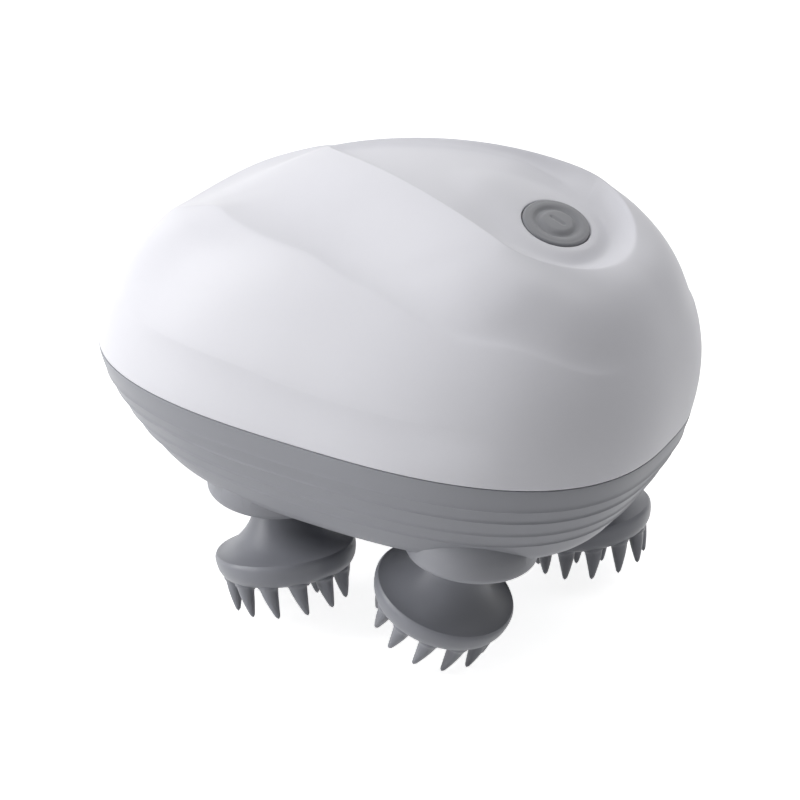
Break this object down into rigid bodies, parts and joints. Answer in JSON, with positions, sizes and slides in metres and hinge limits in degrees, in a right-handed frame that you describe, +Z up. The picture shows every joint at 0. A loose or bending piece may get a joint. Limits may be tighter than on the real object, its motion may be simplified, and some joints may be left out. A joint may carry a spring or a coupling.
{
  "type": "electric pet massager",
  "caption": "Palm-sized electric massager for cats and dogs: an egg-shaped two-part case over a gear train that turns tilted silicone heads with soft claws.",
  "frame": {"origin": "middle of the outline in plan, at the level that the claw tips stand on", "axes": "+X towards the nose with the button, +Y to the left side, +Z up"},
  "size_m": [0.1186, 0.0862, 0.0911],
  "materials": {
    "shell_white": "satin",
    "housing_grey": "satin",
    "button_silicone": "matt",
    "head_silicone": "soft matt",
    "seal_rubber": "matt",
    "steel": "bright",
    "acetal": "moulded",
    "brass": "cut",
    "board_green": "lacquered",
    "black_plastic": "matt",
    "lamp_white": "clear",
    "cell_blue": "sleeved"
  },
  "bodies": {
    "case": {"battery_cell": "cell_blue", "battery_cradle": "acetal", "board_screws": "steel", "button_frame": "housing_grey", "case_screws": "steel", "charging_socket": "steel", "circuit_board": "board_green", "compound_axle": "steel", "front_axle": "steel", "front_left_bush": "acetal", "front_left_seal": "seal_rubber", "front_right_bush": "acetal", "front_right_seal": "seal_rubber", "gearbox_plate": "acetal", "gearbox_screws": "steel", "indicator_lamp": "lamp_white", "lower_housing": "housing_grey", "motor_can": "steel", "motor_screws": "steel", "port_plug": "button_silicone", "port_sleeve": "housing_grey", "rear_axle": "steel", "rear_left_bush": "acetal", "rear_left_seal": "seal_rubber", "rear_right_bush": "acetal", "rear_right_seal": "seal_rubber", "shell_gasket": "seal_rubber", "tact_switch": "black_plastic", "upper_bushes": "acetal", "upper_shell": "shell_white"},
    "front_right_massage_head": {"front_right_shaft": "steel", "front_right_gear": "acetal", "front_right_core": "acetal", "front_right_head": "head_silicone"},
    "front_left_massage_head": {"front_left_shaft": "steel", "front_left_gear": "acetal", "front_left_core": "acetal", "front_left_head": "head_silicone"},
    "rear_right_massage_head": {"rear_right_shaft": "steel", "rear_right_gear": "acetal", "rear_right_core": "acetal", "rear_right_head": "head_silicone"},
    "rear_left_massage_head": {"rear_left_shaft": "steel", "rear_left_gear": "acetal", "rear_left_core": "acetal", "rear_left_head": "head_silicone"},
    "front_centre": {"front_centre_gear": "acetal", "reduction_wheel": "acetal"},
    "rear_centre": {"rear_centre_gear": "acetal"},
    "compound": {"compound_gear": "acetal"},
    "rotor": {"motor_shaft": "steel", "motor_pinion": "brass"},
    "power_button": {"button": "button_silicone"}
  },
  "joints": [
    {"name": "front_right_spin", "type": "hinge", "parent": "case", "child": "front_right_massage_head", "pos_m": [0.0298, -0.02341, 0.03], "axis": [0, 0, 1], "continuous": true},
    {"name": "front_left_spin", "type": "hinge", "parent": "case", "child": "front_left_massage_head", "pos_m": [0.0298, 0.02341, 0.03], "axis": [0, 0, 1], "continuous": true},
    {"name": "rear_right_spin", "type": "hinge", "parent": "case", "child": "rear_right_massage_head", "pos_m": [-0.0138, -0.02341, 0.03], "axis": [0, 0, 1], "continuous": true},
    {"name": "rear_left_spin", "type": "hinge", "parent": "case", "child": "rear_left_massage_head", "pos_m": [-0.0138, 0.02341, 0.03], "axis": [0, 0, 1], "continuous": true},
    {"name": "front_centre_spin", "type": "hinge", "parent": "case", "child": "front_centre", "pos_m": [0.0216, 0, 0.03], "axis": [0, 0, 1], "continuous": true},
    {"name": "rear_centre_spin", "type": "hinge", "parent": "case", "child": "rear_centre", "pos_m": [-0.0056, 0, 0.03], "axis": [0, 0, 1], "continuous": true},
    {"name": "compound_spin", "type": "hinge", "parent": "case", "child": "compound", "pos_m": [0.00887, 0.01273, 0.03], "axis": [0, 0, 1], "continuous": true},
    {"name": "rotor_spin", "type": "hinge", "parent": "case", "child": "rotor", "pos_m": [0.01275, -0.00176, 0.03], "axis": [0, 0, 1], "continuous": true},
    {"name": "button_press", "type": "slide", "parent": "case", "child": "power_button", "axis": [-0.3256, 0, -0.9455], "range_m": [0, 0.0008], "stiffness_N_per_m": 1500}
  ],
  "couplings": [
    {"joint": "front_left_spin", "follows": "front_right_spin", "ratio": 1},
    {"joint": "rear_right_spin", "follows": "front_right_spin", "ratio": -1},
    {"joint": "rear_left_spin", "follows": "front_right_spin", "ratio": -1},
    {"joint": "front_centre_spin", "follows": "front_right_spin", "ratio": -0.82353},
    {"joint": "rear_centre_spin", "follows": "front_right_spin", "ratio": 0.82353},
    {"joint": "compound_spin", "follows": "front_right_spin", "ratio": 3.2941},
    {"joint": "rotor_spin", "follows": "front_right_spin", "ratio": -13.176}
  ]
}
